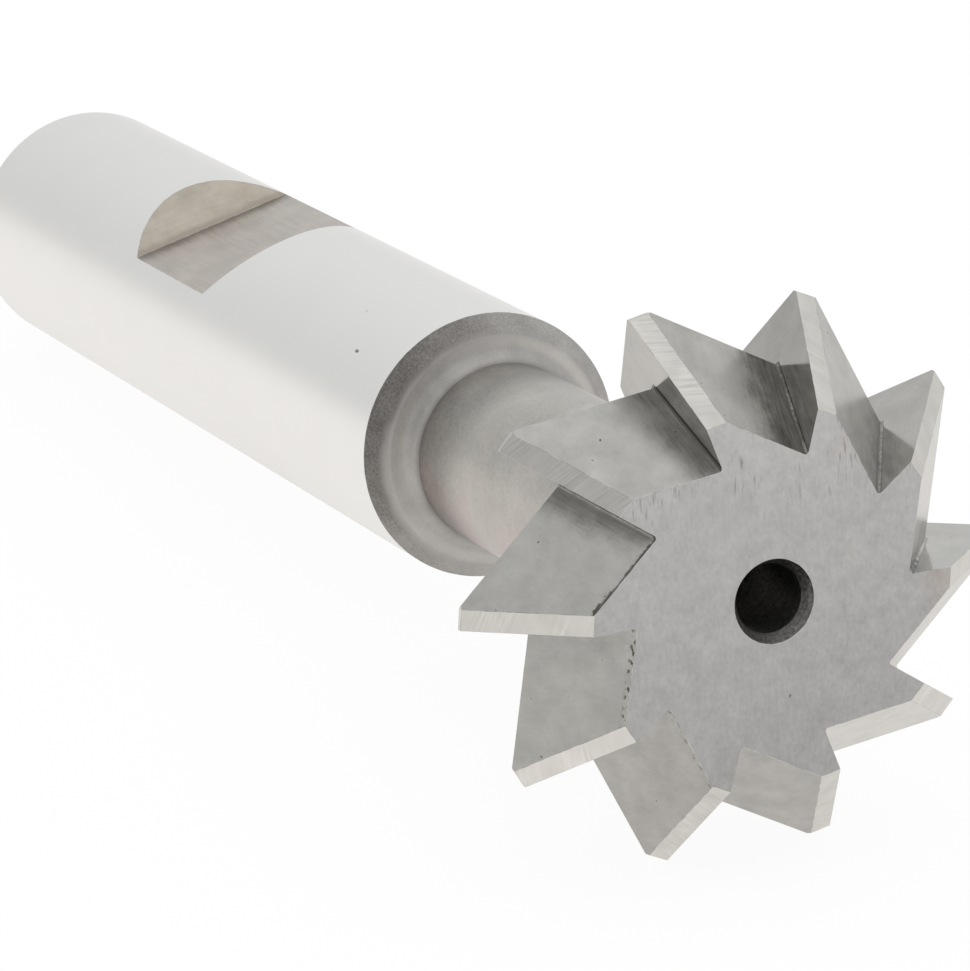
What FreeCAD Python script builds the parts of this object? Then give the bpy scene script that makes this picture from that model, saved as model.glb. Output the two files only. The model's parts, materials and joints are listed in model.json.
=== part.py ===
"""Double angle milling cutter: one piece of tool steel, lying on a table as it comes to rest.

The cutter is built upright, its axis on Z: the shank's end is at z = 0 and the front face at the
top. Its first cutting edge lies over +X, and angles grow counterclockwise as the front face is
seen, which is the way it turns to cut. It is then laid on its side, with the head towards +X.
"""
import FreeCAD, Part
import math
import os

from FreeCAD import Placement, Rotation, Vector

# Head, in millimetres and degrees
cutter_diameter = 19.05
cutter_width = 6.6
included_angle = 90.0
apex_land = 0.2

# Teeth
tooth_count = 10
land_width = 0.69
radial_relief = 7.8
gash_floor_angle = 11.8
gash_fillet = 0.1

# Shank and neck
overall_length = 65.7
shank_diameter = 9.525
shank_length = 43.3
rear_chamfer = 0.4
shoulder_chamfer_depth = 0.6
shoulder_chamfer_length = 0.75
neck_diameter = 6.48
neck_fillet = 0.12
fillet_share = 0.9

# Set-screw flat: the length of its floor and how far that lies from the shank's end, its depth, its
# turn from the first cutting edge, and how far its end walls lean outwards
flat_length = 7.2
flat_to_end = 17.7
flat_depth = 1.27
flat_turn = -4.4
flat_wall_lean = 55.0

# Centre hole in each end
centre_mouth_diameter = 2.8
centre_drill_diameter = 2.3
centre_countersink_angle = 60.0
centre_drill_depth = 5.0
drill_point_angle = 118.0

# The cutting edge that touches the table, counted from the first, and the metal that the turned
# head carries before its lands are ground
resting_edge = 4
grinding_stock = 0.4
cutter_overrun = 1.0

UP = Vector(0, 0, 1)
pitch = 360.0 / tooth_count
shank_radius = shank_diameter / 2
neck_radius = neck_diameter / 2
tip_radius = cutter_diameter / 2
head_back = overall_length - cutter_width
head_middle = overall_length - cutter_width / 2

# The flanks rise this much in radius for each millimetre along the axis, from either face
flank_rise = 1 / math.tan(math.radians(included_angle / 2))
face_radius = tip_radius - flank_rise * (cutter_width - apex_land) / 2
relief_drop = math.tan(math.radians(radial_relief))

# Each gash climbs at the slope that leaves a land of one width from the face to the apex
floor_rise = math.tan(math.radians(gash_floor_angle))
floor_out = math.cos(math.radians(pitch)) - floor_rise * math.sin(math.radians(pitch))
floor_back = math.sin(math.radians(pitch)) + floor_rise * math.cos(math.radians(pitch))
gash_rise = flank_rise * floor_out


def gash_root_radius():
    """Radius of a gash's root at the face, from where its floor meets the next tooth's heel."""
    along = flank_rise ** 2 + 1
    span = land_width / math.sqrt(1 + relief_drop ** 2 / along)
    heel_out = face_radius - span * relief_drop / along
    heel_in = span * relief_drop * flank_rise / along
    return floor_out * heel_out + floor_back * span - gash_rise * heel_in


def turned_blank():
    """Shank, neck and head as they leave the lathe, with grinding stock on the flanks.

    The shank's side is two lengths that meet where the flat will be, each full round at its middle.
    A fillet of the neck takes at most a set share of the wall that it runs out on.
    """
    rough_face = face_radius + grinding_stock
    rough_tip = tip_radius + grinding_stock
    outline = [
        (0, 0),
        (shank_radius - rear_chamfer, 0),
        (shank_radius, rear_chamfer),
        (shank_radius, flat_to_end + flat_length / 2),
        (shank_radius, shank_length - shoulder_chamfer_length),
        (shank_radius - shoulder_chamfer_depth, shank_length),
        (neck_radius, shank_length),
        (neck_radius, head_back),
        (rough_face, head_back),
        (rough_tip, head_middle - apex_land / 2),
        (rough_tip, head_middle + apex_land / 2),
        (rough_face, overall_length),
        (0, overall_length),
        (0, 0),
    ]
    section = Part.Face(Part.makePolygon([Vector(r, 0, z) for r, z in outline]))
    blank = section.revolve(Vector(), UP, 360)
    shoulder_wall = shank_radius - shoulder_chamfer_depth - neck_radius
    head_wall = gash_root_radius() - neck_radius
    for height, wall in ((shank_length, shoulder_wall), (head_back, head_wall)):
        corner = nearest_edge(blank, Vector(0, 0, height), neck_radius)
        blank = blank.makeFillet(min(neck_fillet, fillet_share * wall), [corner])
    return blank


def nearest_edge(solid, centre, radius=None):
    """The edge whose middle lies nearest to a point, of those of one radius if it is given."""
    edges = solid.Edges
    if radius is not None:
        circles = [edge for edge in edges if hasattr(edge.Curve, "Radius")]
        edges = [edge for edge in circles if math.isclose(edge.Curve.Radius, radius)]
    return min(edges, key=lambda edge: edge.CenterOfMass.distanceToPoint(centre))


def gash():
    """One tooth space, ahead of the first cutting edge: two V cuts that meet at mid-width."""
    start = overall_length + cutter_overrun
    length = cutter_width + 2 * cutter_overrun
    reach = tip_radius + grinding_stock + 2 * cutter_overrun
    root = gash_root_radius() - gash_rise * cutter_overrun
    corners = [(root, 0), (reach, 0), (reach, reach), (root + floor_rise * reach, reach), (root, 0)]
    section = Part.Face(Part.makePolygon([Vector(x, y, start) for x, y in corners]))
    travel = Vector(gash_rise * length, 0, -length)
    wedge = section.extrude(travel)
    root_line = nearest_edge(wedge, Vector(root, 0, start) + travel / 2)
    front = wedge.makeFillet(gash_fillet, [root_line])
    back = front.mirror(Vector(0, 0, head_middle), UP)
    return front.fuse(back).removeSplitter()


def land_relief():
    """What is ground off behind the first cutting edge: both flanks and the apex land."""
    ahead = land_width
    behind = 2 * land_width
    outside = tip_radius + grinding_stock + cutter_overrun
    inside = face_radius - flank_rise * cutter_overrun
    outline = [
        (inside, overall_length + cutter_overrun),
        (tip_radius, head_middle + apex_land / 2),
        (tip_radius, head_middle - apex_land / 2),
        (inside, head_back - cutter_overrun),
        (outside, head_back - cutter_overrun),
        (outside, overall_length + cutter_overrun),
        (inside, overall_length + cutter_overrun),
    ]
    section = Part.Face(Part.makePolygon([Vector(r, 0, z) for r, z in outline]))
    section.translate(Vector(relief_drop * ahead, ahead, 0))
    return section.extrude(Vector(-relief_drop, -1, 0) * (ahead + behind))


def for_each_tooth(shape):
    """Copies of a shape turned to every tooth."""
    return [shape.rotated(Vector(), UP, pitch * index) for index in range(tooth_count)]


def set_screw_flat():
    """What is milled out of the shank's side: a flat floor between two leaning end walls."""
    floor = shank_radius - flat_depth
    flare = flat_depth * math.tan(math.radians(flat_wall_lean))
    flat_end = flat_to_end + flat_length
    corners = [
        (floor, flat_to_end),
        (shank_radius, flat_to_end - flare),
        (shank_radius, flat_end + flare),
        (floor, flat_end),
        (floor, flat_to_end),
    ]
    section = Part.Face(Part.makePolygon([Vector(r, -shank_radius, z) for r, z in corners]))
    return section.extrude(Vector(0, shank_diameter, 0)).rotated(Vector(), UP, flat_turn)


def centre_hole():
    """A drilled and countersunk hole that goes down from z = 0, along the axis."""
    mouth = centre_mouth_diameter / 2
    drill = centre_drill_diameter / 2
    countersink_depth = (mouth - drill) / math.tan(math.radians(centre_countersink_angle / 2))
    point_depth = drill / math.tan(math.radians(drill_point_angle / 2))
    outline = [
        (0, 0),
        (mouth, 0),
        (drill, -countersink_depth),
        (drill, -centre_drill_depth),
        (0, -centre_drill_depth - point_depth),
        (0, 0),
    ]
    section = Part.Face(Part.makePolygon([Vector(r, 0, z) for r, z in outline]))
    return section.revolve(Vector(), UP, 360)


def cutter():
    """The finished cutter, upright."""
    body = turned_blank()
    body = body.cut(for_each_tooth(gash()))
    body = body.cut(for_each_tooth(land_relief()))
    body = body.cut(set_screw_flat())
    front_hole = centre_hole().translated(UP * overall_length)
    rear_hole = centre_hole().mirror(Vector(), UP)
    return body.cut([front_hole, rear_hole]).Solids[0]


def apex_heel():
    """The hindmost point of a tooth's apex land, as x out and y back from its cutting edge."""
    floor_height = gash_root_radius() + gash_rise * cutter_width / 2
    back = (floor_height - floor_out * tip_radius) / (floor_back - floor_out * relief_drop)
    return Vector(tip_radius - relief_drop * back, -back, 0)


def resting_placement():
    """How the cutter lies: on one cutting edge, the next tooth's heel and the shank's end."""
    edge = Rotation(UP, pitch * resting_edge).multVec(Vector(tip_radius, 0, 0))
    heel = Rotation(UP, pitch * (resting_edge + 1)).multVec(apex_heel())
    down = (heel - edge).cross(UP).normalize()
    rise = edge.dot(down) - shank_radius
    tilt = math.degrees(math.atan2(rise, head_middle - rear_chamfer))
    roll = math.degrees(math.atan2(down.y, down.x))
    turned = Placement(Vector(), Rotation(UP, -roll))
    return Placement(Vector(), Rotation(Vector(0, 1, 0), 90 - tilt)) * turned


def laid_down(solid):
    """The cutter at rest, with the middle of its footprint at the origin."""
    lying = solid.copy()
    lying.Placement = resting_placement()
    box = lying.BoundBox
    lying.translate(Vector(-box.Center.x, -box.Center.y, -box.ZMin))
    return lying


os.makedirs("parts", exist_ok=True)
laid_down(cutter()).exportStep("parts/cutter.step")
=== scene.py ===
# %% [markdown]
# # A double angle milling cutter, dressed in Blender
#
# The real cutter is one piece of tool steel: a ground shank, a turned neck and a head with ten
# straight teeth. The CAD solid already has its true form. Blender could paint that solid as it is,
# but its loose triangles carry no sense of direction, and every finish of this tool has one: the
# grinder, the lathe and the milling cutter each leave their own lines. So the piece is worked out
# again here as one closed skin of clean grids that know which way the tool marks run.

# %% Load the CAD frame
import json
import math

import bmesh
import bpy
import numpy as np
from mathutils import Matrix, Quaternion, Vector


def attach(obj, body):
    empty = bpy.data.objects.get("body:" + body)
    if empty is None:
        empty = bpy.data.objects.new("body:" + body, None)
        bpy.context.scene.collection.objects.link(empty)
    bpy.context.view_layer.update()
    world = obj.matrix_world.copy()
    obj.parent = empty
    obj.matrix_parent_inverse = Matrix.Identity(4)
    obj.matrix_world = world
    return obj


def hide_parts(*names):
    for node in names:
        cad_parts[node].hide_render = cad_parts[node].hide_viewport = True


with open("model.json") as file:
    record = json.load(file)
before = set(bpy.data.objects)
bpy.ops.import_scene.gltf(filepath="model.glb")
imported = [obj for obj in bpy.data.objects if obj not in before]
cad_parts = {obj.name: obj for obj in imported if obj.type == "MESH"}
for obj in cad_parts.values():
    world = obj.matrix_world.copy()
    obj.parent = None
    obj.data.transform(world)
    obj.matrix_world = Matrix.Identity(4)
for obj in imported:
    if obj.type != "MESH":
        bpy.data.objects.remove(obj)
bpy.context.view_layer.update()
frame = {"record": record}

# %% [markdown]
# ## The cutter's own axes
#
# The cutter lies on one cutting edge and on the rim of its shank, so its axis is not level. It is
# far easier to work out a lathe-turned thing upright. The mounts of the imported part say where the
# axis runs and which way the set-screw flat looks, and that fixes the cutter's own frame: X over the
# first cutting edge, Z along the axis from the shank's end to the front face.

# %% The cutter's own axes, from the mounts
MM = 0.001
flat_turn = math.radians(-4.4)

mounts = {mount["name"]: mount for mount in frame["record"]["mounts"]}
along = -np.array(mounts["rear_centre"]["axis"])
rear_point = np.array(mounts["rear_centre"]["pos_m"]) / MM
flat_out = np.array(mounts["clamp_flat"]["axis"])
flat_side = np.cross(along, flat_out)
first_edge = math.cos(flat_turn) * flat_out - math.sin(flat_turn) * flat_side
tool_axes = np.stack([first_edge, np.cross(along, first_edge), along])


def placed(points):
    """Points in the cutter's own frame, in millimetres, moved to where it lies, in metres."""
    return (rear_point + points @ tool_axes) * MM


print("axis rises", round(math.degrees(math.asin(along[2])), 2), "degrees")

# %% [markdown]
# ## Sizes
#
# All in millimetres and degrees, as on a drawing. The shank and the centre hole take theirs from the
# mounts. The slope of the tooth spaces isn't chosen: it is the one that leaves every land equally
# wide from the face to the apex.

# %% Sizes
cutter_diameter = 19.05
cutter_width = 6.6
included_angle = 90.0
apex_land = 0.2
tooth_count = 10
land_width = 0.69
radial_relief = 7.8
gash_floor_angle = 11.8
gash_fillet = 0.1
overall_length = 65.7
shank_radius = mounts["shank"]["dims"]["r_mm"]
shank_length = 43.3
rear_chamfer = 0.4
shoulder_chamfer_depth = 0.6
shoulder_chamfer_length = 0.75
shoulder_rounding = 0.35
neck_radius = 3.24
neck_fillet = 0.12
flat_length = 7.2
flat_to_end = 17.7
flat_depth = 1.27
flat_wall_lean = 55.0
mouth_radius = 1.4
drill_radius = mounts["front_centre"]["dims"]["r_mm"]
countersink_angle = 60.0
drill_depth = 5.0
drill_point_angle = 118.0

pitch = 2 * math.pi / tooth_count
tip_radius = cutter_diameter / 2
flank_rise = 1 / math.tan(math.radians(included_angle / 2))
flank_depth = (cutter_width - apex_land) / 2
face_radius = tip_radius - flank_rise * flank_depth
relief_drop = math.tan(math.radians(radial_relief))
floor_rise = math.tan(math.radians(gash_floor_angle))
floor_out = math.cos(pitch) - floor_rise * math.sin(pitch)
floor_back = math.sin(pitch) + floor_rise * math.cos(pitch)
gash_rise = flank_rise * floor_out
head_back = overall_length - cutter_width

flank_slope = flank_rise ** 2 + 1
land_span = land_width / math.sqrt(1 + relief_drop ** 2 / flank_slope)
heel_out = face_radius - land_span * relief_drop / flank_slope
heel_in = land_span * relief_drop * flank_rise / flank_slope
root_radius = floor_out * heel_out + floor_back * land_span - gash_rise * heel_in
print("tooth space root radius at the face:", round(root_radius, 3), "mm")

# %% [markdown]
# ## One tooth space, as an outline that changes with depth
#
# A plane square to the axis cuts each tooth space in the same run of lines: down the rake face, round
# the small root fillet, up the floor to the next tooth's heel, and over its land to the next cutting
# edge. Cutting the spaces out of a blank with booleans would leave slivers and stray corners. Here
# the outline is a formula of the depth below a face instead, so the whole head is one grid: columns
# along the outline, rows along the axis.

# %% Steps along the outline, and the outline itself
rake_steps = 6
fillet_steps = 6
floor_steps = 8
land_steps = 5
sector_steps = rake_steps + fillet_steps + floor_steps + land_steps


def lerp(start, end, share):
    """Evenly from start to end as share runs from 0 to 1."""
    return start + (end - start) * share


def root_arc(depth, share):
    """The root fillet: a ball of its radius touches rake face and floor, and the tangent points join."""
    tilt = math.sqrt(1 + floor_rise ** 2 + gash_rise ** 2)
    rake_normal = np.array([0, 1, 0])
    floor_normal = np.array([1, -floor_rise, -gash_rise]) / tilt
    sweep = math.acos(rake_normal @ floor_normal)
    near = np.sin((1 - share) * sweep) / math.sin(sweep)
    far = np.sin(share * sweep) / math.sin(sweep)
    out, turn, forward = (near[:, None] * rake_normal + far[:, None] * floor_normal).T
    x = root_radius + gash_rise * (depth + gash_fillet * forward)
    x = x + gash_fillet * (floor_rise + tilt - out)
    y = gash_fillet * (1 - turn) + 0 * depth
    return x, y


def tooth_outline(depth):
    """One tooth space at depths below a face: x over the cutting edge that leads into it, y ahead of it.

    Rake face straight in, fillet, floor straight to the heel, land straight to the next edge.
    """
    depth = depth[:, None]
    edge = np.minimum(face_radius + flank_rise * depth, tip_radius)
    arc_x, arc_y = root_arc(depth, np.linspace(0, 1, fillet_steps + 1))
    down = np.linspace(0, 1, rake_steps + 1)[:-1]
    rake_x = lerp(edge, arc_x[:, :1], down)
    heel_y = (root_radius + gash_rise * depth - floor_out * edge) / (floor_out * relief_drop - floor_back)
    heel_x = edge + relief_drop * heel_y
    heel = (heel_x * math.cos(pitch) - heel_y * math.sin(pitch),
            heel_x * math.sin(pitch) + heel_y * math.cos(pitch))
    up = np.linspace(0, 1, floor_steps + 1)[1:]
    over = np.linspace(0, 1, land_steps + 1)[1:]
    tip = edge * math.cos(pitch), edge * math.sin(pitch)
    x = [rake_x, arc_x, lerp(arc_x[:, -1:], heel[0], up), lerp(heel[0], tip[0], over)]
    y = [0 * rake_x, arc_y, lerp(arc_y[:, -1:], heel[1], up), lerp(heel[1], tip[1], over)]
    return np.concatenate(x, axis=1), np.concatenate(y, axis=1)


flank_rows = np.linspace(0, flank_depth, 9)
row_depths = np.concatenate([flank_rows, [cutter_width / 2], flank_rows[::-1]])
row_heights = overall_length - np.concatenate(
    [flank_rows, [cutter_width / 2], cutter_width - flank_rows[::-1]])
outline_x, outline_y = tooth_outline(row_depths)
print("outline:", outline_x.shape[1], "columns,", outline_x.shape[0], "rows")

# %% [markdown]
# ## Collecting the skin
#
# Every surface of the tool is a grid of points. A small list keeps the grids until the end, each with
# its finish and with its own pair of distances in millimetres: one along the tool marks and one
# across them. Those become the UV map, so a pattern of lines follows a slanted tooth as easily as a
# round shank. One mesh holds them all, because the real cutter is one piece. The round grids have as
# many columns as the head, and the two nearest to the flat's edges are moved onto them.

# %% A list of grids, and round grids
FINISHES = ["ground_shank", "flat_floor", "flat_wall", "turned_shoulder", "turned_neck", "front_face",
            "gash_floor", "rake_face", "ground_land", "drilled_hole", "shank_end", "worn_edge"]
grids = []


def add_grid(points, finish, u, v):
    """Keep a grid of points (rows, columns, 3) with its finish and its two distances in millimetres."""
    rows, columns = points.shape[:2]
    distances = np.stack([np.broadcast_to(u, (rows, columns)), np.broadcast_to(v, (rows, columns))], -1)
    kind = np.broadcast_to(np.asarray(finish), (rows - 1, columns - 1))
    grids.append((points, distances, kind))


round_steps = sector_steps * tooth_count
turns = (np.arange(round_steps + 1) - rake_steps) * pitch / sector_steps
flat_half = math.acos((shank_radius - flat_depth) / shank_radius)
for corner in (flat_turn + flat_half, flat_turn - flat_half + 2 * math.pi):
    turns[np.argmin(abs(turns - corner))] = corner


def travelled(*coordinates):
    """Distance along a line of points, from 0."""
    steps = np.sqrt(sum(np.diff(np.asarray(c, float)) ** 2 for c in coordinates))
    return np.concatenate([[0], np.cumsum(steps)])


def add_turned(radii, heights, finish):
    """A profile carried round the axis: radius times cosine and sine of the turn, at each height."""
    radii, heights = np.asarray(radii, float), np.asarray(heights, float)
    points = np.stack([radii[:, None] * np.cos(turns), radii[:, None] * np.sin(turns),
                       heights[:, None] + 0 * turns], axis=-1)
    add_grid(points, FINISHES.index(finish), turns * radii.max(), travelled(radii, heights)[:, None])


# %% [markdown]
# ## The head's flanks
#
# The outline of one space is turned to each of the ten teeth. The grid is cut into three strips per
# space, since the ground land, the milled floor and the rake face each have a finish of their own.
# The distance along the marks starts 40 mm further on for each tooth, so no two teeth look alike.

# %% Ten tooth spaces
TOOTH_STEP = 40
strips = (("rake_face", 0, rake_steps),
          ("gash_floor", rake_steps, rake_steps + fillet_steps + floor_steps),
          ("ground_land", sector_steps - land_steps, sector_steps))
run = np.sqrt(np.diff(outline_x, axis=1) ** 2 + np.diff(outline_y, axis=1) ** 2)
across = np.concatenate([0 * run[:, :1], np.cumsum(run, axis=1)], axis=1)
down_flank = travelled(row_heights, np.minimum(face_radius + flank_rise * row_depths, tip_radius))

for tooth in range(tooth_count):
    turn = tooth * pitch
    space = np.stack([outline_x * math.cos(turn) - outline_y * math.sin(turn),
                      outline_x * math.sin(turn) + outline_y * math.cos(turn),
                      row_heights[:, None] + 0 * outline_x], axis=-1)
    for name, first, last in strips:
        columns = slice(first, last + 1)
        start = across[:, last:last + 1] if name == "ground_land" else across[:, rake_steps:rake_steps + 1]
        u = down_flank[:, None] + TOOTH_STEP * tooth
        add_grid(space[:, columns], FINISHES.index(name), u, across[:, columns] - start)
print("strips on the flanks:", len(grids))

# %% [markdown]
# ## The two faces of the head
#
# Each face is flat, between the toothed outline and a circle: the centre hole's mouth in front, the
# neck's fillet behind. Straight lines from every point of the outline to the same column of the
# circle fill it. The circle's columns start a little behind each cutting edge, so no line leaves the
# tooth.

# %% Front and back face
def whole_outline(row):
    """All ten spaces of one row of the outline, closed on itself."""
    turn = np.repeat(np.arange(tooth_count) * pitch, sector_steps)
    x = np.tile(outline_x[row, :-1], tooth_count)
    y = np.tile(outline_y[row, :-1], tooth_count)
    points = np.stack([x * np.cos(turn) - y * np.sin(turn), x * np.sin(turn) + y * np.cos(turn)], axis=-1)
    return np.concatenate([points, points[:1]])


def add_face(row, height, circle_radius, finish):
    """Straight lines from the toothed outline to a circle, in four steps, at one height."""
    circle = circle_radius * np.stack([np.cos(turns), np.sin(turns)], axis=-1)
    share = np.linspace(0, 1, 5)[:, None, None]
    flat = lerp(whole_outline(row), circle, share)
    points = np.concatenate([flat, np.full(flat.shape[:2] + (1,), height)], axis=-1)
    add_grid(points, FINISHES.index(finish), flat[..., 0], flat[..., 1])


add_face(0, overall_length, mouth_radius, "front_face")
add_face(-1, head_back, neck_radius + neck_fillet, "turned_neck")

# %% [markdown]
# ## Everything that the lathe made
#
# The neck, the shoulder and the centre holes are profiles carried round the axis. A lathe does the
# same, and so could Blender's Screw modifier, but plain formulas keep the columns in step with the
# head and the shank, so that the seams close. The shoulder isn't crisp: an arc joins its chamfer to
# the ring inside it, and a soft hollow leads from the ring to the neck.

# %% Neck and shoulder
shoulder_hollow = 0.6
quarter = np.linspace(0, math.pi / 2, 9)
front_radii = neck_radius + neck_fillet * (1 - np.sin(quarter))
front_heights = head_back - neck_fillet * (1 - np.cos(quarter))
straight = np.linspace(front_heights[-1], shank_length + shoulder_hollow, 13)[1:]
neck_radii = np.concatenate([front_radii, neck_radius + 0 * straight])
neck_heights = np.concatenate([front_heights, straight])
neck_line = travelled(neck_radii, neck_heights)[-1]
add_turned(neck_radii, neck_heights, "turned_neck")
print("neck, along its line:", round(neck_line, 2), "mm")

shoulder_foot = shank_length - shoulder_chamfer_length
chamfer_slope = math.atan2(shoulder_chamfer_length, shoulder_chamfer_depth)
arc_start = shank_radius - shoulder_chamfer_depth - shoulder_rounding * math.tan(chamfer_slope / 2)
bend = np.linspace(0, chamfer_slope, 8)
shoulder_radii = np.concatenate([neck_radius + shoulder_hollow * (1 - np.cos(quarter)),
                                 arc_start + shoulder_rounding * np.sin(bend)])
shoulder_heights = np.concatenate([shank_length + shoulder_hollow * (1 - np.sin(quarter)),
                                   shank_length - shoulder_rounding * (1 - np.cos(bend))])
slope_share = np.linspace(0, 1, 5)[1:]
add_turned(np.concatenate([shoulder_radii, lerp(shoulder_radii[-1], shank_radius, slope_share)]),
           np.concatenate([shoulder_heights, lerp(shoulder_heights[-1], shoulder_foot, slope_share)]),
           "turned_shoulder")

# %% Centre holes and the shank's end
sink_depth = (mouth_radius - drill_radius) / math.tan(math.radians(countersink_angle / 2))
point_depth = drill_depth + drill_radius / math.tan(math.radians(drill_point_angle / 2))
hole_radii = np.array([mouth_radius, drill_radius, drill_radius, drill_radius, 0])
hole_depths = np.array([0, sink_depth, drill_depth / 2, drill_depth, point_depth])
add_turned(hole_radii, overall_length - hole_depths, "drilled_hole")
add_turned(hole_radii, hole_depths, "drilled_hole")
end_radius = shank_radius - rear_chamfer
add_turned([mouth_radius, (mouth_radius + end_radius) / 2, end_radius], [0, 0, 0], "shank_end")
add_turned([end_radius, shank_radius], [0, rear_chamfer], "shank_end")

# %% [markdown]
# ## The shank with its set-screw flat
#
# A flat with leaning end walls was milled into the round shank. Each column of the shank's grid runs
# along the axis, and where it meets the flat it goes down the wall, along the floor and up the other
# wall. Where a column misses the flat, the wall has no height and its rows fall together, to be
# merged later. No boolean is needed, and the flat's edges are exact.

# %% Shank
shank_parts = (("ground_shank", 16), ("flat_wall", 4), ("flat_floor", 8), ("flat_wall", 4),
               ("ground_shank", 16))


def shank_columns():
    """The finish and points of each part: up to the flat, down a wall, along, up a wall and on."""
    flat_floor = shank_radius - flat_depth
    out = shank_radius * np.cos(turns - flat_turn)
    sideways = shank_radius * np.sin(turns - flat_turn)
    low = np.minimum(out, flat_floor)
    flare = (out - low) * math.tan(math.radians(flat_wall_lean))
    flat_end = flat_to_end + flat_length
    stops = [(rear_chamfer + 0 * out, out), (flat_to_end - flare, out), (flat_to_end + 0 * out, low),
             (flat_end + 0 * out, low), (flat_end + flare, out), (shoulder_foot + 0 * out, out)]
    for number, (part_finish, steps) in enumerate(shank_parts):
        share = np.linspace(0, 1, steps + 1)[:, None]
        height = lerp(stops[number][0], stops[number + 1][0], share)
        level = lerp(stops[number][1], stops[number + 1][1], share)
        x = level * math.cos(flat_turn) - sideways * math.sin(flat_turn)
        y = level * math.sin(flat_turn) + sideways * math.cos(flat_turn)
        yield part_finish, np.stack([x, y, height], axis=-1)


middle_turn = (turns[:-1] + turns[1:]) / 2
in_flat = np.cos(middle_turn - flat_turn) > math.cos(flat_half)
for part_finish, points in shank_columns():
    kind = np.where(in_flat, FINISHES.index(part_finish), FINISHES.index("ground_shank"))
    add_grid(points, kind, turns * shank_radius, points[..., 2])
print("grids in all:", len(grids))

# %% [markdown]
# ## One closed skin
#
# All grids go into one mesh as whole arrays. Then the points that two grids share are merged, which
# closes the seams, the poles of the centre holes and the collapsed rows beside the flat, and the
# faces are turned outwards. Edges sharper than a set angle are marked, because a machined edge is
# crisp.

# %% Build the mesh
def built(name):
    """One mesh object from all the grids: every cell of a grid becomes a face with four corners."""
    points, distances, faces, kinds, count = [], [], [], [], 0
    for grid, uv, kind in grids:
        rows, columns = grid.shape[:2]
        corner = np.arange(rows - 1)[:, None] * columns + np.arange(columns - 1)
        quads = np.stack([corner, corner + 1, corner + columns + 1, corner + columns], axis=-1)
        faces.append(quads.reshape(-1, 4) + count)
        kinds.append(kind.ravel())
        points.append(grid.reshape(-1, 3))
        distances.append(uv.reshape(-1, 2))
        count += rows * columns
    faces = np.concatenate(faces)
    mesh = bpy.data.meshes.new(name)
    mesh.from_pydata(placed(np.concatenate(points)), [], faces)
    layer = mesh.uv_layers.new(name="tool_marks")
    layer.data.foreach_set("uv", np.concatenate(distances)[faces.ravel()].astype(np.float32).ravel())
    mesh.polygons.foreach_set("material_index", np.concatenate(kinds).astype(np.int32))
    piece = bpy.data.objects.new(name, mesh)
    bpy.context.scene.collection.objects.link(piece)
    return piece


def seal(mesh, merge_distance, crease):
    """Merge shared points, drop what collapsed, turn faces outwards and mark the sharp edges."""
    work = bmesh.new()
    work.from_mesh(mesh)
    bmesh.ops.remove_doubles(work, verts=work.verts, dist=merge_distance)
    bmesh.ops.dissolve_degenerate(work, edges=work.edges, dist=merge_distance)
    bmesh.ops.recalc_face_normals(work, faces=work.faces)
    for face in work.faces:
        face.smooth = True
    for edge in work.edges:
        edge.smooth = len(edge.link_faces) != 2 or edge.calc_face_angle() < crease
    leaks = sum(len(edge.link_faces) != 2 for edge in work.edges)
    print("faces", len(work.faces), "open edges", leaks, "volume mm3", round(work.calc_volume() / MM ** 3, 2))
    work.to_mesh(mesh)
    work.free()


sharp_angle = math.radians(20)
cutter = built("double_angle_cutter")
seal(cutter.data, merge_distance=1e-3 * MM, crease=sharp_angle)

# %% [markdown]
# ## Edges that catch the light
#
# No real edge is perfectly sharp. A narrow Bevel rounds every sharp edge by a few hundredths of a
# millimetre, and gives the new faces a finish of their own, because handling wears edges bright.

# %% Bevel
edge_break = 0.03
bevel = cutter.modifiers.new("edge_break", "BEVEL")
bevel.width = edge_break * MM
bevel.segments = 2
bevel.limit_method = "ANGLE"
bevel.angle_limit = sharp_angle
bevel.harden_normals = True
bevel.material = FINISHES.index("worn_edge")

# %% [markdown]
# ## A small language for finishes
#
# A finish is easiest to think about as a sum: some blots, some fine lines, less of both near an edge.
# Blender would have that sum drawn as a web of Math nodes. Here a number inside a material is wrapped
# in a class that overloads plus, minus and times, so a sum in Python adds those nodes by itself. All
# other nodes come from one method: the type, then its settings, then its inputs.

# %% Numbers and finishes
class Number:
    """A number inside a material. Arithmetic on it adds Math nodes."""

    def __init__(self, finish, socket):
        self.finish = finish
        self.socket = socket

    def math(self, operation, *inputs):
        """A Math node on the given inputs."""
        node = self.finish.node("ShaderNodeMath", {"operation": operation}, dict(enumerate(inputs)))
        return Number(self.finish, node.outputs[0])

    def __add__(self, other):
        return self.math("ADD", self, other)

    def __sub__(self, other):
        return self.math("SUBTRACT", self, other)

    def __rsub__(self, other):
        return self.math("SUBTRACT", other, self)

    def __mul__(self, other):
        return self.math("MULTIPLY", self, other)

    __radd__ = __add__
    __rmul__ = __mul__


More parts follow.
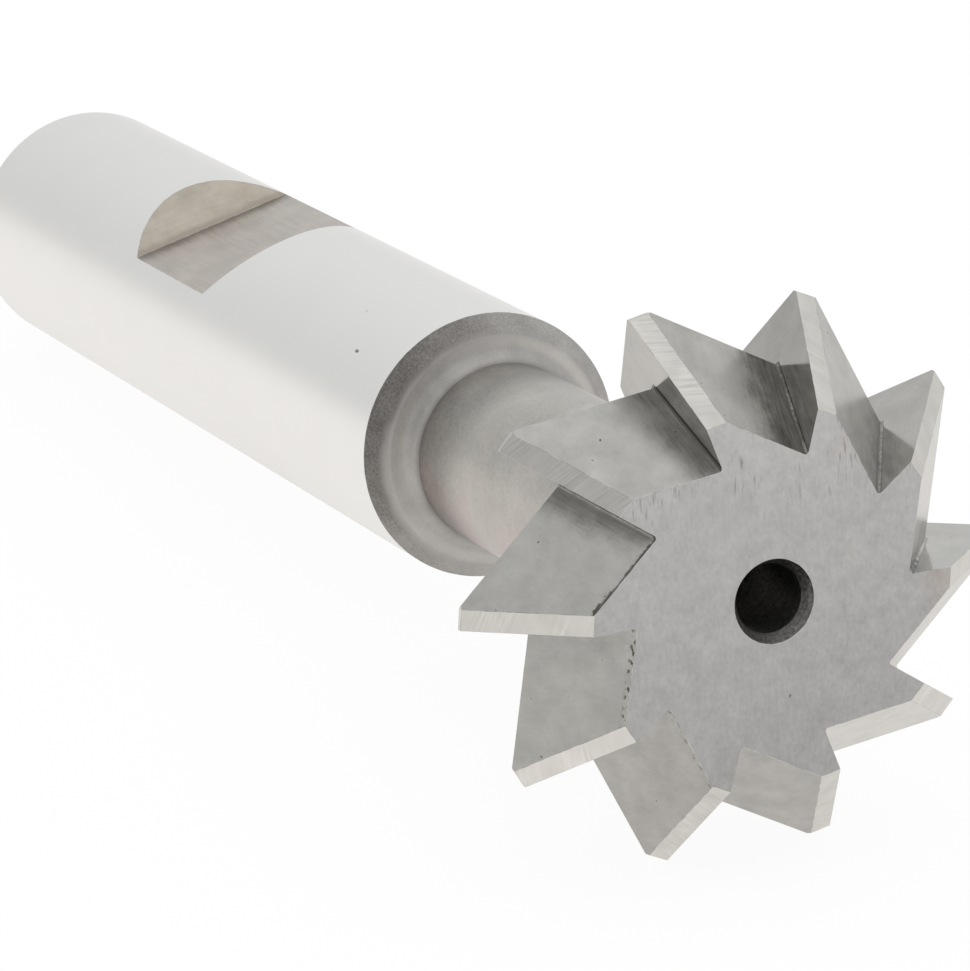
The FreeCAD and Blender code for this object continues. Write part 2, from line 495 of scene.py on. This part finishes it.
class Finish:
    """A finish under construction in a node tree."""

    def __init__(self, tree):
        self.tree = tree
        self.tree.nodes.clear()

    def node(self, kind, settings=(), inputs=()):
        """A node of one type: its settings first, then values or links for its sockets."""
        made = self.tree.nodes.new(kind)
        for name, value in dict(settings).items():
            setattr(made, name, value)
        for name, value in dict(inputs).items():
            self.feed(made.inputs[name], value)
        return made

    def feed(self, socket, value):
        """Link a socket to another, or set its value."""
        value = getattr(value, "socket", value)
        if isinstance(value, bpy.types.NodeSocket):
            self.tree.links.new(value, socket)
        elif socket.type == "RGBA":
            socket.default_value = (*value, 1)
        else:
            socket.default_value = value

    def stretch(self, vector, factors):
        """A vector times one factor for each axis."""
        node = self.node("ShaderNodeVectorMath", {"operation": "MULTIPLY"}, {0: vector, 1: factors})
        return node.outputs[0]

    def place(self):
        """The place on the object in millimetres."""
        return self.stretch(self.node("ShaderNodeTexCoord").outputs["Object"], (1000, 1000, 1000))

    def marks(self):
        """The two distances of the UV map, in millimetres."""
        return self.node("ShaderNodeUVMap", {"uv_map": "tool_marks"}).outputs[0]

    def parts(self, vector):
        """The three numbers of a vector."""
        node = self.node("ShaderNodeSeparateXYZ", {}, {0: vector})
        return [Number(self, output) for output in node.outputs]

    def grain(self, vector, factors, detail=2.0, roughness=0.5, distortion=0.0):
        """Noise around one half, with about as many blots per millimetre on each axis as its factor."""
        node = self.node("ShaderNodeTexNoise", {}, {
            "Vector": self.stretch(vector, factors), "Scale": 1.0, "Detail": detail,
            "Roughness": roughness, "Distortion": distortion})
        return Number(self, node.outputs[0])

    def fade(self, value, start, end):
        """From 0 at start to 1 at end, softly."""
        low, high, first, last = (start, end, 0.0, 1.0) if start < end else (end, start, 1.0, 0.0)
        node = self.node("ShaderNodeMapRange", {"interpolation_type": "SMOOTHSTEP"}, {
            "Value": value, "From Min": low, "From Max": high, "To Min": first, "To Max": last})
        return Number(self, node.outputs[0])

    def tint(self, dark, light, share):
        """A colour between two."""
        return self.node("ShaderNodeMix", {"data_type": "RGBA"}, {0: share, 6: dark, 7: light}).outputs[2]

    def bump(self, height, micrometres):
        """A normal from a height of 0 to 1 that stands for so many micrometres."""
        node = self.node("ShaderNodeBump", {}, {
            "Height": height, "Strength": 1.0, "Distance": micrometres * MM ** 2})
        return node.outputs[0]

    def steel(self, colour, roughness, normal=None):
        """Finish with a metal surface."""
        surface = self.node("ShaderNodeBsdfPrincipled", {}, {
            "Base Color": colour, "Roughness": roughness, "Metallic": 1.0})
        if normal is not None:
            self.feed(surface.inputs["Normal"], normal)
        self.node("ShaderNodeOutputMaterial", {}, {"Surface": surface.outputs[0]})


def new_finish(name):
    """An empty finish in the slot of its name on the cutter."""
    material = bpy.data.materials.new(name)
    material.use_nodes = True
    cutter.data.materials.append(material)
    return Finish(material.node_tree)


def linear(*levels):
    """Screen colours from 0 to 255 as the linear numbers that a shader takes."""
    share = np.array(levels) / 255
    return tuple(float(c) for c in np.where(share < 0.04045, share / 12.92, ((share + 0.055) / 1.055) ** 2.4))


finishes = {name: new_finish(name) for name in FINISHES}
print("finishes:", ", ".join(finishes))

# %% [markdown]
# ## The shank: cylindrically ground
#
# A grinding wheel runs round the shank, so its lines run round too, and they are so fine that they
# only soften the reflection. The lines are noise squeezed along the axis. Two nicks from handling are
# dots at given places on the UV map.

# %% Ground shank
def nick(finish, marks, around, height, long, wide):
    """A small dot at a place on the map, long and wide in millimetres."""
    centre = (around, height, 0)
    shifted = finish.node("ShaderNodeVectorMath", {"operation": "SUBTRACT"}, {0: marks, 1: centre})
    scaled = finish.stretch(shifted.outputs[0], (1 / long, 1 / wide, 0))
    length = finish.node("ShaderNodeVectorMath", {"operation": "LENGTH"}, {0: scaled})
    return finish.fade(Number(finish, length.outputs["Value"]), 1.0, 0.4)


shank = finishes["ground_shank"]
marks = shank.marks()
lines = shank.grain(marks, (0.3, 14, 1), detail=3)
blots = shank.grain(shank.place(), (0.25, 0.25, 0.25))
pits = shank.fade(shank.grain(marks, (5, 5, 1), detail=1), 0.80, 0.86)
dark_nick = nick(shank, marks, around=2.32, height=39.25, long=0.09, wide=0.2)
faint_nick = nick(shank, marks, around=0.82, height=37.44, long=0.1, wide=0.1)
nicks = dark_nick + 0.35 * faint_nick
tone = 1.0 + (lines - 0.5) * 0.15 + (blots - 0.5) * 0.25 - pits * 0.2 - nicks * 1.6
steel_tint = shank.tint(linear(140, 139, 137), linear(239, 239, 237), shank.fade(tone, -0.6, 1.1))
shank.steel(steel_tint, 0.31 + (lines - 0.5) * 0.06 + nicks * 0.2, shank.bump(lines - nicks * 5, 0.12))

# %% [markdown]
# ## The set-screw flat: milled
#
# An end mill cut the flat, and its corner left the leaning walls. The floor is a little warm and has
# faint straight lines, and the walls are yellowish. Both are softer than the ground shank. Along the
# corner where floor and wall meet, both are painted darker: painted shade.

# %% Flat floor and walls
floor_finish = finishes["flat_floor"]
marks = floor_finish.marks()
lines = floor_finish.grain(marks, (9, 0.4, 1), detail=3)
blots = floor_finish.grain(floor_finish.place(), (0.7, 0.7, 0.7), detail=3)
height = floor_finish.parts(marks)[1]
# Painted shade: the floor is darkened along its corner with the wall.
corner = floor_finish.fade(height + (lines - 0.5) * 0.3, flat_to_end + 1.1, flat_to_end)
tone = 0.68 + (lines - 0.5) * 0.5 + (blots - 0.5) * 0.8 - corner * 0.8
floor_finish.steel(floor_finish.tint(linear(150, 145, 139), linear(210, 204, 197), tone),
                   0.34 + (blots - 0.5) * 0.2, floor_finish.bump(lines, 0.6))

wall = finishes["flat_wall"]
place = wall.place()
blots = wall.grain(place, (0.8, 0.8, 0.8), detail=4, roughness=0.6)
arcs = wall.grain(wall.marks(), (0.5, 12, 1), detail=2)
# Painted shade: the wall is darkened towards the floor, in the corner.
corner = wall.fade(wall.parts(wall.marks())[1], flat_to_end - 0.35, flat_to_end)
tone = 0.4 + (blots - 0.5) * 1.2 + (arcs - 0.5) * 0.3 - corner * 0.5
wall.steel(wall.tint(linear(164, 156, 144), linear(212, 205, 192), tone), 0.42 + (blots - 0.5) * 0.2,
           wall.bump(arcs, 0.6))

# %% [markdown]
# ## Shoulder and neck: turned, then left dull
#
# Nobody grinds the neck. It keeps a matt skin from hardening, warm in patches low down, with a fine
# speckle. The map's second distance runs outwards over the shoulder, so the dark speckle can thicken
# towards the rim. The chamfer is painted darker on one side, and the ring inside it and the hollow to
# the neck are painted lighter: painted shade and painted reflection. The neck is painted darker next
# to the shoulder, further on its upper side: painted shade.

# %% Shoulder
shoulder = finishes["turned_shoulder"]
marks = shoulder.marks()
place = shoulder.place()
outwards = shoulder.parts(marks)[1]
speckle = shoulder.grain(place, (12, 12, 12), detail=3, roughness=0.7)
patches = shoulder.grain(place, (0.9, 0.9, 0.9), detail=3)
y, z = shoulder.parts(place)[1:]
ragged = (patches - 0.5) * 0.7 + (speckle - 0.5) * 0.4
rim = shoulder.fade(outwards + ragged + shoulder.fade(z, 8.0, 11.0) * 0.2, 1.2, 1.7)
# Painted reflection: the flat ring and the hollow next to the neck are painted lighter.
ring_highlight = shoulder.fade(outwards, 0.7, 1.0) * shoulder.fade(outwards, 1.3, 1.05)
hollow_highlight = shoulder.fade(outwards, 0.5, 0.1)
# Painted shade: the chamfer's rim is darkened on the -y side, more so higher up.
shaded_side = shoulder.fade(y, 3.2, -2.6) * (0.2 + 0.8 * shoulder.fade(z, 3.5, 7.0))
tone = 0.43 + (speckle - 0.5) * (0.25 + rim * 0.3) + (patches - 0.5) * 0.3
tone = tone + ring_highlight * 0.22 + hollow_highlight * 0.08 - rim * shaded_side * 0.3
shoulder.steel(shoulder.tint(linear(97, 93, 89), linear(237, 235, 232), tone), 0.5 + (speckle - 0.5) * 0.2,
               shoulder.bump(speckle, 2.0))

# %% Neck
neck = finishes["turned_neck"]
marks = neck.marks()
place = neck.place()
speckle = neck.grain(place, (7, 7, 7), detail=4, roughness=0.7)
patches = neck.grain(place, (0.45, 0.45, 0.45), detail=3)
cloud = neck.grain(place, (0.4, 0.55, 0.4), detail=3, distortion=0.5)
height = neck.parts(place)[2]
warm = neck.fade(height + (cloud - 0.5) * 14, 10.0, 5.0)
rings = neck.grain(marks, (0.3, 7, 1), detail=2)
# Painted shade: the neck is darkened next to the shoulder, reaching further along it on its upper side.
along_neck = neck.parts(marks)[1] + (patches - 0.5) * 1.2 + neck.fade(height, 7.0, 10.0) * 0.6
pits = neck.fade(neck.grain(place, (2.6, 2.6, 2.6), detail=1), 0.76, 0.82)
shade = neck.fade(along_neck, neck_line - 3.4, neck_line - 1.0)
tone = 0.66 + (speckle - 0.5) * 0.6 + (patches - 0.5) * 0.5 + (rings - 0.5) * 0.06
tone = tone - shade * 0.32 - pits * 0.4
cool_tint = neck.tint(linear(118, 116, 112), linear(214, 211, 205), tone)
warm_tint = neck.tint(linear(122, 115, 112), linear(216, 205, 200), tone)
neck.steel(neck.tint(cool_tint, warm_tint, warm), 0.38 + (speckle - 0.5) * 0.2, neck.bump(speckle, 2.0))

# %% [markdown]
# ## The front face
#
# The face was ground once and has been handled since: broad blots, a finer mottle, a brown tint
# towards some teeth, and short dark scratches between the upper tooth spaces, all running one way.
# The blots use the place on the object, so they ignore the mesh below. The scratches are noise
# stretched into short strokes and cut off near its top. The third number of the place is the height
# above the table, so it says where the upper half of the face is. The face is also painted lighter
# towards the top: painted light.

# %% Front face
face = finishes["front_face"]
place = face.place()
y, z = face.parts(place)[1:]
blots = face.grain(place, (0.3, 0.3, 0.3), detail=3, distortion=0.6)
mottle = face.grain(place, (1.5, 1.5, 1.5), detail=5, roughness=0.65)
fine = face.grain(place, (1, 8, 5), detail=2)
strokes = face.grain(place, (0, 11, 1.3), detail=2)
upper = face.fade(z + (mottle - 0.5) * 3, 12.0, 13.6)
clusters = face.fade(face.grain(place, (1, 1, 1)), 0.42, 0.56)
scratches = face.fade(strokes, 0.56, 0.68) * upper * clusters
brown = face.fade(blots + (y - 4) * 0.05, 0.5, 0.7) * 0.8
pits = face.fade(face.grain(place, (3.2, 3.2, 3.2), detail=1), 0.79, 0.84)
# Painted light: the tone rises with height, so the face is lighter towards the top.
tone = 0.32 + z * 0.02 + (blots - 0.5) * 0.15 + (mottle - 0.5) * 0.45 + (fine - 0.5) * 0.25
tone = tone - scratches * 0.36 - pits * 0.8
plain = face.tint(linear(124, 124, 124), linear(214, 214, 214), tone)
stained = face.tint(linear(124, 118, 113), linear(212, 206, 200), tone)
face.steel(face.tint(plain, stained, brown), 0.36 + (mottle - 0.5) * 0.15, face.bump(mottle, 1.0))

# %% [markdown]
# ## The tooth spaces: milled
#
# The milling cutter's lines run along each space, with the map's first distance. Near the root of the
# first spaces and the last three the lines are coarser and the floor is painted darker: painted shade.
# The root fillet itself is a thin dotted dark line, painted shade as well. Some spaces are painted
# lighter or darker as a whole: painted light and shade. Some spaces have torn edges at the face, as
# small dark chips, and one keeps a burr at its root.

# %% Floors of the tooth spaces
def spaces(finish, u, first, last):
    """1 in the tooth spaces from first to last, and 0 in the others.

    They are counted from 0, the one that the first cutting edge leads into.
    """
    after = finish.fade(u, first * TOOTH_STEP - 1, first * TOOTH_STEP)
    return after * finish.fade(u, (last + 1) * TOOTH_STEP, (last + 1) * TOOTH_STEP - 1)


gash = finishes["gash_floor"]
marks = gash.marks()
place = gash.place()
u, v = gash.parts(marks)[:2]
streaks = gash.grain(marks, (0.7, 8, 1), detail=4, roughness=0.6)
fine = gash.grain(marks, (2, 24, 1), detail=2)
blots = gash.grain(place, (1.0, 1.0, 1.0), detail=5, roughness=0.65)
pits = gash.fade(gash.grain(place, (4, 4, 4), detail=1), 0.76, 0.82)
# Painted shade: the floors of the first spaces and of spaces 7 to 9 are darkened near the root, where the
# streaks are also coarser.
shaded_root_spaces = gash.fade(u, 110, 10) + spaces(gash, u, 7, 9)
tenth = spaces(gash, u, 9, 9)
root_streaks_and_shade = gash.fade(v + (blots - 0.5) * 1.6 + (streaks - 0.5) * 0.6 - tenth * 0.7, 1.3, 0.2) * shaded_root_spaces
ragged = gash.grain(marks, (5, 5, 1), detail=2)
dots = gash.fade(ragged, 0.58, 0.4) * 0.16
# Painted shade: a thin dotted dark line along the root fillet, darkest in space 0.
fillet = gash.fade(v, 0.18, 0.13) * (0.06 + dots + spaces(gash, u, 0, 0) * 0.6)
from_face = u.math("MODULO", u, TOOTH_STEP)
chips = gash.fade(ragged, 0.5, 0.6) * gash.fade(from_face, 0.3, 0.05)
burr = gash.fade(from_face + (ragged - 0.5) * 0.25, 0.15, 0.04)
curls = gash.fade(ragged, 0.47, 0.52) * gash.fade(from_face, 3.0, 1.5) * gash.fade(v, 0.9, 0.3)
torn = spaces(gash, u, 1, 1) * (0.6 * burr + chips * gash.fade(v, 2.0, 3.0)) + spaces(gash, u, 2, 2) * chips
torn = torn + spaces(gash, u, 3, 3) * chips * 0.25 + spaces(gash, u, 7, 7) * curls * 0.8
# Painted light and shade: spaces 5 to 7 lighter, 3 and 4 darker, space 7 lighter further from the root.
painted_light_and_shade = 0.25 * spaces(gash, u, 5, 7) - 0.08 * spaces(gash, u, 3, 4)
painted_light_and_shade = painted_light_and_shade + 0.5 * spaces(gash, u, 7, 7) * gash.fade(v, 1.2, 1.6)
tone = 0.69 + (blots - 0.5) * 0.5 + (streaks - 0.5) * (0.08 + root_streaks_and_shade * 0.7) + (fine - 0.5) * 0.12
tone = tone - root_streaks_and_shade * (0.28 + tenth * 0.2) - pits * 0.7 - torn * 1.1 + painted_light_and_shade - fillet
gash.steel(gash.tint(linear(92, 91, 87), linear(206, 205, 201), tone), 0.3 + (streaks - 0.5) * 0.12,
           gash.bump(streaks + fine * 0.3 - torn, 1.5))

# %% Rake faces
rake = finishes["rake_face"]
marks = rake.marks()
place = rake.place()
lines = rake.grain(marks, (0.8, 16, 1), detail=3)
blots = rake.grain(place, (0.8, 0.8, 0.8), detail=4, roughness=0.6)
pits = rake.fade(rake.grain(place, (3, 3, 3), detail=1), 0.78, 0.83)
u = rake.parts(marks)[0]
# Painted reflection: the rake faces of spaces 7 to 9 are made lighter.
tone = 0.58 + (blots - 0.5) * 0.4 + (lines - 0.5) * 0.15 - pits * 0.5 + spaces(rake, u, 7, 9) * 0.1
rake.steel(rake.tint(linear(96, 95, 92), linear(208, 207, 203), tone), 0.13 + (blots - 0.5) * 0.1,
           rake.bump(lines, 0.5))

# %% [markdown]
# ## The lands: ground last
#
# A grinding wheel finished the lands, so fine lines run across them at a slant, finer in some places
# and coarser in others. They are the brightest steel of the head.

# %% Lands
land = finishes["ground_land"]
marks = land.marks()
slanted = land.node("ShaderNodeMapping", {}, {"Vector": marks, "Rotation": (0, 0, math.radians(19))})
lines = land.grain(slanted.outputs[0], (11, 0.5, 1), detail=3, roughness=0.6)
coarse = land.fade(land.grain(marks, (0.7, 0.4, 1)), 0.42, 0.62)
mottle = land.grain(land.place(), (1.2, 1.2, 1.2), detail=3)
u = land.parts(marks)[0]
tone = 0.5 + (lines - 0.5) * (0.25 + coarse * 0.65) + (mottle - 0.5) * 0.4
# Painted light and shade: the first land is made darker and the next two lighter.
tone = tone - spaces(land, u, 0, 0) * 0.12 + spaces(land, u, 1, 2) * 0.15
land.steel(land.tint(linear(168, 166, 162), linear(240, 238, 233), tone), 0.34 + (lines - 0.5) * 0.08,
           land.bump(lines, 0.45))

# %% [markdown]
# ## Holes, the shank's end and the worn edges
#
# The centre holes are rough and dark inside, and their lower side is painted lighter: painted light.
# The shank's end was faced on the lathe, so its lines are rings. The broken edges are dull, and bare
# in places.

# %% Holes and the shank's end
hole = finishes["drilled_hole"]
speckle = hole.grain(hole.place(), (8, 8, 8), detail=4, roughness=0.75)
rings = hole.grain(hole.marks(), (0.4, 9, 1), detail=2)
# Painted light: the holes are made lighter below a height of about 9 mm.
lower_highlight = hole.fade(hole.parts(hole.place())[2], 10.0, 8.6)
tone = 0.1 + (speckle - 0.5) * 1.6 + (rings - 0.5) * 0.4 + lower_highlight * 0.35
hole.steel(hole.tint(linear(80, 79, 78), linear(205, 203, 200), tone), 0.45, hole.bump(speckle, 5.0))

end = finishes["shank_end"]
rings = end.grain(end.marks(), (0.3, 10, 1), detail=3)
blots = end.grain(end.place(), (0.6, 0.6, 0.6), detail=4)
tone = 0.5 + (rings - 0.5) * 0.9 + (blots - 0.5) * 0.9
end.steel(end.tint(linear(150, 148, 144), linear(222, 219, 214), tone), 0.36 + (blots - 0.5) * 0.2,
          end.bump(rings, 2.0))

# %% Worn edges
edge_finish = finishes["worn_edge"]
broken = edge_finish.grain(edge_finish.place(), (2.5, 2.5, 2.5), detail=3)
bare = edge_finish.fade(broken, 0.35, 0.6)
edge_finish.steel(edge_finish.tint(linear(150, 147, 142), linear(212, 210, 205), bare), 0.35)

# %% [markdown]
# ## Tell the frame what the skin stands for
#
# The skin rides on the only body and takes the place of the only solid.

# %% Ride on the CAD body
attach(cutter, "root")
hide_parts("cutter")

# %% [markdown]
# ## Camera
#
# A pinhole camera was fitted to the photograph from known points of the cutter. Its place, its
# direction, its small roll and its lens are written down as that fit gave them.

# %% Camera
camera_place = Vector((196.233, -78.520, 75.191)) * MM
camera_azimuth = math.radians(67.232)
camera_elevation = math.radians(18.813)
camera_roll = math.radians(-1.303)
camera_lens = 224.69

back = Vector((math.sin(camera_azimuth) * math.cos(camera_elevation),
               -math.cos(camera_azimuth) * math.cos(camera_elevation), math.sin(camera_elevation)))
camera = bpy.data.objects.new("camera", bpy.data.cameras.new("camera"))
bpy.context.scene.collection.objects.link(camera)
camera.data.lens = camera_lens
camera.data.sensor_width = 36
camera.data.clip_start = 0.01
camera.location = camera_place
camera.rotation_mode = "QUATERNION"
camera.rotation_quaternion = (-back).to_track_quat("-Z", "Y") @ Quaternion((0, 0, 1), camera_roll)
bpy.context.scene.camera = camera

# %% [markdown]
# ## Floor and light
#
# Bright steel shows its surroundings more than itself. The cutter lies on white paper in a white
# room: what looks down reflects the paper, what looks up the ceiling, and the grey upper side of the
# shank is the reflection of a dimmer wall. So the room is a smooth function of direction: an even
# white with two dim patches, one beyond the shank's end and one in front. The paper shows the camera
# plain white and keeps a faint shadow. In the steel it is a little warm, and grey far behind the
# cutter.

# %% Paper floor
floor_mesh = bpy.data.meshes.new("floor")
floor_mesh.from_pydata([(-3, -3, 0), (3, -3, 0), (3, 3, 0), (-3, 3, 0)], [], [(0, 1, 2, 3)])
floor = bpy.data.objects.new("floor", floor_mesh)
bpy.context.scene.collection.objects.link(floor)
paper_material = bpy.data.materials.new("paper")
paper_material.use_nodes = True
floor_mesh.materials.append(paper_material)

paper = Finish(paper_material.node_tree)
rays = paper.node("ShaderNodeLightPath").outputs
seen = Number(paper, rays["Is Camera Ray"])
mirrored = Number(paper, rays["Is Glossy Ray"])
behind = paper.parts(paper.place())[0]
warm_white = paper.tint((0.98, 0.955, 0.935), (0.66, 0.65, 0.64), paper.fade(behind, -30, -400))
diffuse = paper.node("ShaderNodeBsdfDiffuse", {}, {"Color": (0.95, 0.95, 0.95)})
glow = paper.node("ShaderNodeEmission", {}, {
    "Color": paper.tint((1.0, 1.0, 1.0), warm_white, mirrored), "Strength": 1.02})
glow_share = 0.9 * seen + 0.95 * mirrored
both = paper.node("ShaderNodeMixShader", {}, {0: glow_share, 1: diffuse.outputs[0], 2: glow.outputs[0]})
paper.node("ShaderNodeOutputMaterial", {}, {"Surface": both.outputs[0]})

# %% Room
def heading(azimuth, elevation):
    """A direction from an azimuth and an elevation in degrees."""
    turn, rise = math.radians(azimuth), math.radians(elevation)
    return (math.sin(turn) * math.cos(rise), -math.cos(turn) * math.cos(rise), math.sin(rise))


world = bpy.data.worlds.new("room")
world.use_nodes = True
bpy.context.scene.world = world
room = Finish(world.node_tree)
direction = room.node("ShaderNodeTexCoord").outputs["Generated"]


def dim_patch(centre, inner, outer, depth):
    """How much darker a direction is: all of depth within inner degrees of the centre, none past outer."""
    facing = room.node("ShaderNodeVectorMath", {"operation": "DOT_PRODUCT"}, {0: direction, 1: centre})
    near = math.cos(math.radians(inner))
    return room.fade(Number(room, facing.outputs["Value"]), math.cos(math.radians(outer)), near) * depth


end_wall = dim_patch(heading(-85, -12), inner=12, outer=45, depth=0.22)
front_wall = dim_patch(heading(27, 18), inner=8, outer=40, depth=0.42)
level = 0.88 - end_wall - front_wall
to_camera = Number(room, room.node("ShaderNodeLightPath").outputs["Is Camera Ray"])
background = room.node("ShaderNodeBackground", {}, {
    "Color": (1, 1, 1), "Strength": to_camera + (1 - to_camera) * level})
room.node("ShaderNodeOutputWorld", {}, {"Surface": background.outputs[0]})

# %% Soft lamp overhead
lamp_data = bpy.data.lights.new("softbox", "AREA")
lamp_data.shape = "SQUARE"
lamp_data.size = 1.0
lamp_data.energy = 0.35
lamp = bpy.data.objects.new("softbox", lamp_data)
lamp.location = (-0.1, 0.25, 0.8)
lamp.rotation_euler = (-lamp.location).to_track_quat("-Z", "Y").to_euler()
bpy.context.scene.collection.objects.link(lamp)
bpy.context.scene.view_settings.view_transform = "Standard"
